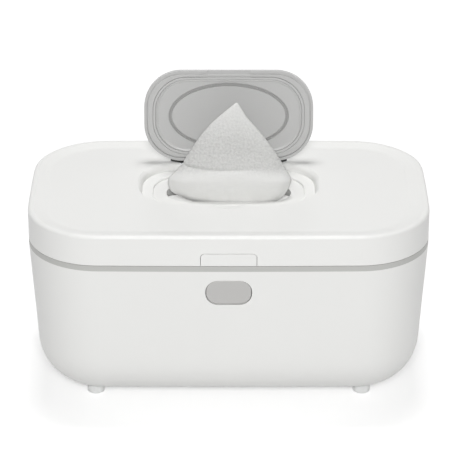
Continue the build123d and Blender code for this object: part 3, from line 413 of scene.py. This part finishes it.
class WARMER_OT_button(bpy.types.Operator):
    """Finishes the release button, the latch slider behind it and their guide"""

    bl_idname = "warmer.button"
    bl_label = "Release button"

    def execute(self, context):
        colours = coloured(context)
        paint(plastic("grey_button", colours.button, gloss=0.34), "release_button")
        paint(plastic("natural_works", colours.works, gloss=0.5, tone=0.03), "latch_slider", "button_guide")
        return {"FINISHED"}


class WARMER_OT_hardware(bpy.types.Operator):
    """Finishes the steel pins and screws"""

    bl_idname = "warmer.hardware"
    bl_label = "Pins and screws"

    def execute(self, context):
        colours = coloured(context)
        paint(
            metal("bright_steel", colours.steel, gloss=0.28),
            "bottom_screws", "board_screws", "guide_screws", "lid_screws",
            "lid_hinge_pins", "flip_hinge_pin",
        )
        return {"FINISHED"}


class WARMER_OT_spring(bpy.types.Operator):
    """Builds the button's coil spring at its rest length"""

    bl_idname = "warmer.spring"
    bl_label = "Button spring"

    def execute(self, context):
        low, high = (Vector(corner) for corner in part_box("button_spring"))
        middle = (low + high) / 2
        half_wire = SPRING_WIRE * MM / 2
        radius = (high.x - low.x) / 2 - half_wire
        coil = bmesh.new()
        bmesh.ops.create_grid(coil, x_segments=SPRING_TURNS * 32, y_segments=12, size=1.0)
        for vertex in coil.verts:
            along, around = (vertex.co.x + 1) / 2, pi * (vertex.co.y + 1)
            turn = 2 * pi * SPRING_TURNS * along
            out = radius + half_wire * cos(around)
            y = low.y + half_wire + (high.y - low.y - 2 * half_wire) * along + half_wire * sin(around)
            vertex.co = (middle.x + out * cos(turn), y, middle.z + out * sin(turn))
        bmesh.ops.remove_doubles(coil, verts=coil.verts, dist=RING_WELD)
        bmesh.ops.holes_fill(coil, edges=[edge for edge in coil.edges if edge.is_boundary])
        bmesh.ops.recalc_face_normals(coil, faces=coil.faces)
        for face in coil.faces:
            face.smooth = len(face.verts) == 4
        mesh = bpy.data.meshes.new("coil_spring")
        coil.to_mesh(mesh)
        coil.free()
        mesh.materials.append(metal("spring_steel", coloured(context).steel, gloss=0.28))
        piece = bpy.data.objects.new("coil_spring", mesh)
        context.scene.collection.objects.link(piece)
        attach(piece, "base")
        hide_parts("button_spring")
        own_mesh(piece)
        return {"FINISHED"}


class WARMER_OT_feet(bpy.types.Operator):
    """Finishes the four milky soft feet"""

    bl_idname = "warmer.feet"
    bl_label = "Feet"

    def execute(self, context):
        feet = plastic("milky_feet", coloured(context).feet, gloss=0.45, tone=0.02)
        shader = feet.node_tree.nodes["Principled BSDF"]
        shader.inputs["Subsurface Weight"].default_value = 0.7
        shader.inputs["Subsurface Radius"].default_value = (1.0, 1.0, 1.0)
        shader.inputs["Subsurface Scale"].default_value = 0.003
        paint(feet, "rubber_feet")
        return {"FINISHED"}


class WARMER_OT_electrics(bpy.types.Operator):
    """Finishes the heat plate, heater, insulation, control board, leads and socket"""

    bl_idname = "warmer.electrics"
    bl_label = "Electrics"

    def execute(self, context):
        colours = coloured(context)
        dark = plastic("dark_parts", colours.dark_part, gloss=0.5, tone=0.08)
        paint(metal("rolled_aluminium", colours.heat_plate, gloss=0.35), "heat_plate")
        paint(plastic("amber_film", colours.heater, gloss=0.25, tone=0.05), "heater_film")
        paint(
            finish_material("grey_felt", colours.felt, "fibre", {"Strand Scale": 700.0, "Relief": 0.0003}),
            "insulation_pad",
        )
        paint(metal("thermostat_steel", colours.steel, gloss=0.35), "thermostat")
        paint(plastic("fuse_ceramic", colours.works, gloss=0.3, tone=0.02), "thermal_fuse")
        paint(plastic("solder_mask", colours.board, gloss=0.25, tone=0.05), "control_board")
        paint(dark, "board_components", "power_socket", "socket_lead", "heater_lead")
        return {"FINISHED"}


# ---------------------------------------------------------------- flip lid's liner
FLIP_AXIS_Y = 39.9            # the flip lid's pin, in millimetres
FLIP_AXIS_Z = 119.2
FLIP_OPEN = radians(100.0)    # how far the flip lid stands open at rest
LINER_MIDDLE_Y = 7.2          # places on the closed flip lid
LINER_FACE_Z = 116.8
RING_POINTS = 240
# Loops of the liner's trim, from its outer border over the bead to the face: width, depth and
# corner radius of a rounded rectangle, and height above the liner's face.
LINER_TRIM = (
    (103.7, 54.3, 21.7, -0.05),
    (103.7, 54.3, 21.7, 0.46),
    (103.3, 53.9, 21.5, 0.52),
    (97.9, 51.5, 22.2, 0.46),
    (97.6, 51.2, 22.1, 0.38),
    (97.1, 50.7, 21.8, 0.02),
    (96.7, 50.3, 21.6, 0.82),
    (96.3, 49.9, 21.4, 0.94),
    (94.5, 48.1, 20.6, 0.94),
    (94.1, 47.7, 20.4, 0.82),
    (93.7, 47.3, 20.2, 0.02),
    (93.1, 46.7, 19.9, 0.34),
    (92.6, 46.2, 19.6, 0.4),
    (90.0, 43.8, 18.5, -0.02),
    (90.0, 43.8, 18.5, -0.05),
)
SEAL_OVAL = (37.5, 20.6)      # half lengths of the middle of the seal's groove
# Section of the seal: outwards from the middle of its groove, depth under the liner's face, and
# how far the fold leans to the hinge
SEAL_SECTION = (
    (1.18, 1.36, 0.0), (1.18, 0.0, 0.0), (1.08, -0.06, 0.0), (0.0, 1.25, 0.5),
    (-1.08, -0.06, 0.0), (-1.18, 0.0, 0.0), (-1.18, 1.36, 0.0),
)
# Loops of the low rim round the well in the lid's recess, as the liner's trim, height in Z
WELL_RIM = (
    (97.6, 51.2, 22.0, 115.3),
    (97.6, 51.2, 22.0, 115.42),
    (96.7, 50.3, 21.6, 115.68),
    (96.0, 49.6, 21.2, 115.68),
    (95.5, 49.1, 20.95, 115.4),
    (95.5, 49.1, 20.95, 114.7),
    (96.2, 49.8, 21.3, 114.7),
    (96.2, 49.8, 21.3, 115.3),
)


def rounded_rectangle(width, depth, corner):
    """Points round a rounded rectangle about the origin, evenly spread by angle."""
    points = []
    for step in range(RING_POINTS):
        angle = 2 * pi * (step + 0.5) / RING_POINTS
        side = (1 if cos(angle) > 0 else -1, 1 if sin(angle) > 0 else -1)
        inner = (width / 2 - corner, depth / 2 - corner)
        share = step % (RING_POINTS // 4) + 0.5
        turn = share / (RING_POINTS // 4)
        if (side[0] > 0) != (side[1] > 0):
            turn = 1 - turn
        straight_x, arc, straight_y = inner[0], corner * pi / 2, inner[1]
        run = turn * (straight_x + arc + straight_y)
        if run < straight_y:
            x, y = width / 2, run
        elif run < straight_y + arc:
            bend = (run - straight_y) / corner
            x, y = inner[0] + corner * cos(bend), inner[1] + corner * sin(bend)
        else:
            x, y = straight_x - (run - straight_y - arc), depth / 2
        points.append((side[0] * x, side[1] * y))
    return points


def on_open_lid(x, y, z):
    """A place on the closed flip lid, moved to where the lid stands at rest, in metres."""
    y, z = y - FLIP_AXIS_Y, z - FLIP_AXIS_Z
    return Vector((
        x,
        FLIP_AXIS_Y + cos(FLIP_OPEN) * y + sin(FLIP_OPEN) * z,
        FLIP_AXIS_Z - sin(FLIP_OPEN) * y + cos(FLIP_OPEN) * z,
    )) * MM


def on_lid(x, y, z):
    """A place on the main lid, which stands closed at rest, in metres."""
    return Vector((x, y, z)) * MM


def ring_piece(name, body, placed, loops, material):
    """A closed ring through loops of (x, y, z), each of as many points, that rides on a body."""
    ring = bmesh.new()
    bmesh.ops.create_grid(ring, x_segments=RING_POINTS, y_segments=len(loops), size=1.0)
    for vertex in ring.verts:
        step = round((vertex.co.x + 1) / 2 * RING_POINTS) % RING_POINTS
        loop = round((vertex.co.y + 1) / 2 * len(loops)) % len(loops)
        x, y, z = loops[loop][step]
        vertex.co = placed(x, y + LINER_MIDDLE_Y, z)
    bmesh.ops.remove_doubles(ring, verts=ring.verts, dist=RING_WELD)
    bmesh.ops.recalc_face_normals(ring, faces=ring.faces)
    mesh = bpy.data.meshes.new(name)
    ring.to_mesh(mesh)
    ring.free()
    mesh.materials.append(material)
    piece = bpy.data.objects.new(name, mesh)
    bpy.context.scene.collection.objects.link(piece)
    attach(piece, body)
    return piece


class WARMER_OT_liner_trim(bpy.types.Operator):
    """Builds the border and bead of the flip lid's liner, the lipped seal, and the rim of the lid's well"""

    bl_idname = "warmer.liner_trim"
    bl_label = "Liner trim"

    def execute(self, context):
        colours = coloured(context)
        loops = [
            [(x, y, LINER_FACE_Z - height) for x, y in rounded_rectangle(width, depth, corner)]
            for width, depth, corner, height in LINER_TRIM
        ]
        grey = plastic("grey_liner_trim", colours.flip_inside, gloss=0.42)
        trim = ring_piece("liner_trim", "flip_lid", on_open_lid, loops, grey)
        turns = [2 * pi * step / RING_POINTS for step in range(RING_POINTS)]
        loops = [
            [
                ((SEAL_OVAL[0] + out) * cos(turn), (SEAL_OVAL[1] + out) * sin(turn) + lean, LINER_FACE_Z + deep)
                for turn in turns
            ]
            for out, deep, lean in SEAL_SECTION
        ]
        silicone = plastic("silicone_seal", colours.lipped_seal, gloss=0.27, tone=0.02)
        seal = ring_piece("lipped_seal", "flip_lid", on_open_lid, loops, silicone)
        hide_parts("flip_seal")
        loops = [
            [(x, y, height) for x, y in rounded_rectangle(width, depth, corner)]
            for width, depth, corner, height in WELL_RIM
        ]
        white = plastic("white_rim", colours.lid, gloss=0.36, grain=0.000008)
        rim = ring_piece("well_rim", "lid", on_lid, loops, white)
        return {"FINISHED"}


# ---------------------------------------------------------------- wipe
# Rows across the cloth, in millimetres, from the rear of the opening over the hollow in it, up the
# roll and its crease, up the flap to the tip and down behind it: left and right edge (x), middle
# (y, z), edges (y, z), and how much of the embossing, the pleats and the turned out edge it has.
# The embossing column also sets how much painted shade darkens the cloth there.
WIPE_ROWS = (
    (-31.0, 31.0, 18.0, 108.0, 18.0, 107.6, 0.0, 0.2, 0.0),
    (-38.6, 38.6, 7.2, 108.2, 7.2, 110.6, 0.0, 0.2, 0.0),
    (-30.0, 31.0, -2.8, 107.8, -2.0, 107.4, 0.0, 0.2, 0.0),
    (-17.0, 26.0, -5.0, 110.8, 0.0, 110.2, 0.0, 0.3, 0.3),
    (-26.5, 31.0, -5.7, 114.0, 3.4, 113.0, 0.0, 0.6, 1.0),
    (-34.0, 34.4, -6.6, 117.6, 6.0, 116.2, 0.0, 0.6, 1.0),
    (-36.8, 37.0, -7.6, 122.6, 6.8, 120.6, 0.0, 0.4, 0.8),
    (-37.4, 38.9, -7.2, 127.2, 7.0, 124.8, 0.0, 0.3, 0.3),
    (-35.8, 38.4, -6.0, 130.6, 7.6, 127.4, 0.1, 0.2, 0.0),
    (-33.9, 37.3, -4.8, 132.8, 8.0, 129.2, 0.3, 0.1, 0.0),
    (-32.3, 36.3, -3.8, 134.2, 8.2, 130.8, 0.55, 0.0, 0.0),
    (-31.0, 35.5, -3.0, 135.6, 8.3, 132.2, 0.8, 0.0, 0.0),
    (-29.2, 34.3, -1.9, 138.0, 8.5, 134.2, 1.0, 0.0, 0.0),
    (-25.4, 30.3, 1.4, 143.6, 9.2, 140.6, 1.0, 0.0, 0.0),
    (-19.1, 23.4, 5.6, 153.2, 10.8, 150.2, 0.9, 0.0, 0.0),
    (-12.8, 16.9, 9.4, 160.6, 12.6, 157.4, 0.7, 0.0, 0.0),
    (-6.5, 11.4, 12.6, 166.4, 14.2, 163.2, 0.5, 0.0, 0.0),
    (3.2, 6.2, 15.6, 171.6, 15.8, 171.0, 0.3, 0.0, 0.0),
    (3.5, 5.8, 16.5, 171.5, 16.5, 171.0, 0.3, 0.0, 0.0),
    (-5.0, 9.6, 16.9, 166.0, 17.0, 163.4, 1.0, 0.0, 0.0),
    (-12.0, 15.8, 16.4, 160.0, 17.0, 156.6, 1.0, 0.1, 0.0),
    (-18.2, 21.8, 15.6, 152.0, 16.6, 148.6, 1.0, 0.2, 0.0),
    (-23.8, 27.2, 14.8, 143.2, 16.2, 140.4, 1.0, 0.3, 0.0),
    (-28.4, 31.6, 14.4, 134.9, 16.0, 132.6, 1.0, 0.4, 0.0),
    (-29.6, 32.6, 14.8, 126.0, 16.4, 124.8, 1.0, 0.5, 0.0),
    (-27.0, 29.0, 16.0, 118.0, 17.0, 117.6, 1.0, 0.5, 0.0),
    (-24.0, 26.0, 16.6, 112.4, 17.0, 112.2, 1.0, 0.3, 0.0),
)
LEFT_ROUNDNESS = 2.2          # how square the rows are in plan: 2 is an ellipse
RIGHT_ROUNDNESS = 3.2
CREASE_Z = 134.4              # crease between roll and flap
CREASE_WIDTH = 0.9
CREASE_DEPTH = 1.5            # at its left end; it fades to the right
WIPE_ACROSS = 128
WIPE_ALONG = 250
LIP_START = 0.95              # share of the half width where the side edge starts to turn out


def through(keys, share):
    """The smooth row at a share of the way through the key rows (Catmull-Rom)."""
    spans = len(keys) - 1
    at = min(share * spans, spans - 1e-6)
    index = int(at)
    t = at - index
    before, first, second, after = (keys[max(0, min(spans, index + step))] for step in (-1, 0, 1, 2))
    return [
        0.5 * (2 * b + (c - a) * t + (2 * a - 5 * b + 4 * c - d) * t * t + (3 * b - a - 3 * c + d) * t**3)
        for a, b, c, d in zip(before, first, second, after)
    ]


def even_shares(keys, count):
    """Shares through the key rows that lie evenly far apart along the middle of the cloth."""
    fine = 40 * len(keys)
    samples = [i / fine for i in range(fine + 1)]
    points = [Vector((0, row[2], row[3])) for row in (through(keys, share) for share in samples)]
    run = [0.0]
    for first, second in zip(points, points[1:]):
        run.append(run[-1] + (second - first).length)
    shares, i = [], 0
    for step in range(count + 1):
        wanted = run[-1] * step / count
        while i < fine - 1 and run[i + 1] < wanted:
            i += 1
        part = (wanted - run[i]) / max(run[i + 1] - run[i], 1e-9)
        shares.append(samples[i] + part / fine)
    return shares, run[-1]


def wipe_point(row, u, run):
    """The place of one point of the cloth, u from -1 at the left edge to 1 at the right."""
    left, right, mid_y, mid_z, edge_y, edge_z, emboss, pleat, lip = row
    x = (left + right) / 2 + u * (right - left) / 2
    power = LEFT_ROUNDNESS if u < 0 else RIGHT_ROUNDNESS
    round_back = 1 - (1 - 0.985 * min(abs(u), 1.0) ** power) ** (1 / power)
    y = mid_y + (edge_y - mid_y) * round_back
    z = mid_z + (edge_z - mid_z) * abs(u) ** 2.2
    wave = noise.noise(Vector((x * 0.11, run * 0.02, 3.1))) + 0.5 * noise.noise(Vector((x * 0.31, run * 0.05, 8.4)))
    y += 0.9 * pleat * wave
    slow = noise.noise(Vector((x * 0.05, run * 0.045, 5.7)))
    y += 0.7 * slow * min(1.0, (right - left) / 40.0)
    if mid_y < 12:
        fade = min(1.0, max(0.0, (17 - x) / 24)) * min(1.0, (1 - abs(u)) / 0.15)
        y += CREASE_DEPTH * fade * exp(-(((z - CREASE_Z) / CREASE_WIDTH) ** 2))
    return Vector((x, y, z)), emboss, lip


class WARMER_OT_wipe(bpy.types.Operator):
    """Builds the wipe: a roll that rises from the opening, a crease and an embossed corner flap"""

    bl_idname = "warmer.wipe"
    bl_label = "Wipe"

    def execute(self, context):
        sizes = sized(context)
        shares, length = even_shares(WIPE_ROWS, WIPE_ALONG)
        rows = [through(WIPE_ROWS, share) for share in shares]
        cloth = bmesh.new()
        bmesh.ops.create_grid(cloth, x_segments=WIPE_ACROSS, y_segments=WIPE_ALONG, size=1.0)
        flat, raised = {}, {}
        for vertex in cloth.verts:
            across, along = vertex.co.x, (vertex.co.y + 1) / 2
            row = rows[round(along * WIPE_ALONG)]
            place, emboss, lip = wipe_point(row, across, along * length)
            edge = max(0.0, (abs(across) - LIP_START) / (1 - LIP_START))
            turned = lip * sizes.lip / MM * edge
            place += Vector((turned if across > 0 else -turned, -0.5 * turned, 0.35 * turned))
            vertex.co = place * MM
            flat[vertex.index] = (place.x * MM, along * length * MM)
            raised[vertex.index] = emboss
        cloth.normal_update()
        embossed = cloth.verts.layers.float.new("embossed")
        for vertex in cloth.verts:
            x, run = (value / sizes.emboss_pitch for value in flat[vertex.index])
            marks = noise.noise(Vector((x, run, 1.7))) + 0.7 * noise.noise(Vector((2.3 * x, 2.3 * run, 6.2)))
            vertex.co += vertex.normal * sizes.emboss * raised[vertex.index] * marks
            vertex[embossed] = raised[vertex.index]
        layer = cloth.loops.layers.uv.new("cloth")
        for face in cloth.faces:
            face.smooth = True
            for loop in face.loops:
                loop[layer].uv = flat[loop.vert.index]
        mesh = bpy.data.meshes.new("wipe_cloth")
        cloth.to_mesh(mesh)
        cloth.free()
        mesh.materials.append(wipe_material(context))
        piece = bpy.data.objects.new("wipe_cloth", mesh)
        context.scene.collection.objects.link(piece)
        wall = piece.modifiers.new("thickness", "SOLIDIFY")
        wall.thickness = sizes.thickness
        wall.offset = 0
        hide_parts("wipe")
        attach(piece, "lid")
        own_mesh(piece)
        return {"FINISHED"}


def wipe_material(context):
    """White non-woven cloth: felted strands, soft and a little see-through, with painted shade on the flap."""
    material = finish_material(
        "white_nonwoven",
        coloured(context).wipe,
        "fibre",
        {"Strand Scale": 1500.0, "Tone": 0.06, "Relief": 0.00012},
        {"Sheen Weight": 0.25, "Sheen Roughness": 0.5, "Subsurface Weight": 0.25, "Subsurface Scale": 0.0015},
        on_uv=True,
    )
    tree = material.node_tree
    tree.nodes["Principled BSDF"].inputs["Subsurface Radius"].default_value = (1.0, 1.0, 1.0)
    # The embossed share drives the pressed bump and the painted shade of the cloth.
    pressed = tree.nodes.new("ShaderNodeAttribute")
    pressed.attribute_name = "embossed"
    pattern = next(node for node in tree.nodes if node.type == "GROUP")
    tree.links.new(pressed.outputs["Fac"], pattern.inputs["Embossed"])
    return material


# ---------------------------------------------------------------- studio
def area_light(name, place, aim, size, power):
    light = bpy.data.lights.new(name, "AREA")
    light.shape = "RECTANGLE"
    light.size, light.size_y = size
    light.energy = power
    lamp = bpy.data.objects.new(name, light)
    lamp.location = place
    lamp.rotation_euler = (Vector(aim) - Vector(place)).to_track_quat("-Z", "Y").to_euler()
    bpy.context.scene.collection.objects.link(lamp)
    return lamp


LIFT_NEAR = 0.45              # from the object's middle to where the floor starts to turn plain white


def seen_directly(tree):
    """1 for camera, glossy and transmission rays, which see the white background."""
    rays = tree.nodes.new("ShaderNodeLightPath")
    seen = math_node(tree, "MAXIMUM", rays.outputs["Is Camera Ray"], rays.outputs["Is Glossy Ray"])
    return math_node(tree, "MAXIMUM", seen, rays.outputs["Is Transmission Ray"])


class WARMER_OT_studio(bpy.types.Operator):
    """Sets up the camera, the floor, the lights and the room"""

    bl_idname = "warmer.studio"
    bl_label = "Studio"

    def execute(self, context):
        studio = context.scene.warmer_studio
        scene = context.scene
        scene.view_settings.view_transform = "Standard"

        camera = bpy.data.cameras.new("camera")
        camera.lens = studio.lens
        camera.shift_x = 0.00066
        camera.clip_start, camera.clip_end = 0.05, 30
        view = bpy.data.objects.new("camera", camera)
        back = Vector((0, -cos(studio.elevation), sin(studio.elevation)))
        view.location = Vector((0, 0, studio.aim_height)) + back * studio.distance
        view.rotation_euler = (pi / 2 - studio.elevation, 0, 0)
        scene.collection.objects.link(view)
        scene.camera = view

        ground = bmesh.new()
        bmesh.ops.create_grid(ground, x_segments=1, y_segments=1, size=studio.floor_size / 2)
        mesh = bpy.data.meshes.new("floor")
        ground.to_mesh(mesh)
        ground.free()
        paper = finish_material("floor_paper", studio.floor, "moulded", {"Tone": 0.004, "Gloss": 0.9, "Grain": 0.0})
        tree = paper.node_tree
        surface = tree.nodes["Principled BSDF"]
        surface.inputs["Specular IOR Level"].default_value = 0.0
        surface.inputs["Emission Color"].default_value = (1, 1, 1, 1)
        place = next(node for node in tree.nodes if node.type == "TEX_COORD")
        away = tree.nodes.new("ShaderNodeVectorMath")
        away.operation = "LENGTH"
        tree.links.new(place.outputs["Object"], away.inputs[0])
        far = math_node(tree, "SUBTRACT", away.outputs["Value"], LIFT_NEAR)
        lifted = ranged(tree, far, studio.lift, 1.0)
        tree.links.new(
            math_node(tree, "MULTIPLY", seen_directly(tree), lifted), surface.inputs["Emission Strength"]
        )
        mesh.materials.append(paper)
        floor = bpy.data.objects.new("floor", mesh)
        scene.collection.objects.link(floor)

        area_light("overhead_softbox", (0, 0.27, 1.45), (0, 0.03, 0.1), (0.45, 0.3), studio.overhead)
        area_light("front_softbox", (0, -2.0, 1.3), (0, 0, 0.08), (0.6, 0.4), studio.front)

        world = bpy.data.worlds.new("room")
        world.use_nodes = True
        tree = world.node_tree
        background = tree.nodes["Background"]
        background.inputs["Color"].default_value = (1, 1, 1, 1)
        strength = ranged(tree, seen_directly(tree), studio.ambient, 1.0)
        tree.links.new(strength, background.inputs["Strength"])
        scene.world = world
        return {"FINISHED"}


# ---------------------------------------------------------------- add-on
STEPS = (
    WARMER_OT_studio,
    WARMER_OT_casing,
    WARMER_OT_flip_lid,
    WARMER_OT_liner_trim,
    WARMER_OT_button,
    WARMER_OT_hardware,
    WARMER_OT_spring,
    WARMER_OT_feet,
    WARMER_OT_electrics,
    WARMER_OT_wipe,
)
GROUPS = {"warmer_colours": WarmerColours, "warmer_wipe": WarmerWipe, "warmer_studio": WarmerStudio}


class WARMER_PT_panel(bpy.types.Panel):
    """The wipe warmer's values and steps"""

    bl_idname = "WARMER_PT_panel"
    bl_label = "Wipe Warmer"
    bl_space_type = "VIEW_3D"
    bl_region_type = "UI"
    bl_category = "Wipe Warmer"

    def draw(self, context):
        for pointer, group in GROUPS.items():
            box = self.layout.box()
            for name in group.__annotations__:
                box.prop(getattr(context.scene, pointer), name)
        for step in STEPS:
            self.layout.operator(step.bl_idname)


def register():
    for group in (*GROUPS.values(), *STEPS, WARMER_PT_panel):
        bpy.utils.register_class(group)
    for pointer, group in GROUPS.items():
        setattr(bpy.types.Scene, pointer, bpy.props.PointerProperty(type=group))


def unregister():
    for pointer in GROUPS:
        delattr(bpy.types.Scene, pointer)
    for group in (WARMER_PT_panel, *reversed(STEPS), *GROUPS.values()):
        bpy.utils.unregister_class(group)


def main():
    register()
    for step in STEPS:
        group, name = step.bl_idname.split(".")
        getattr(getattr(bpy.ops, group), name)()


if __name__ == "__main__":
    main()
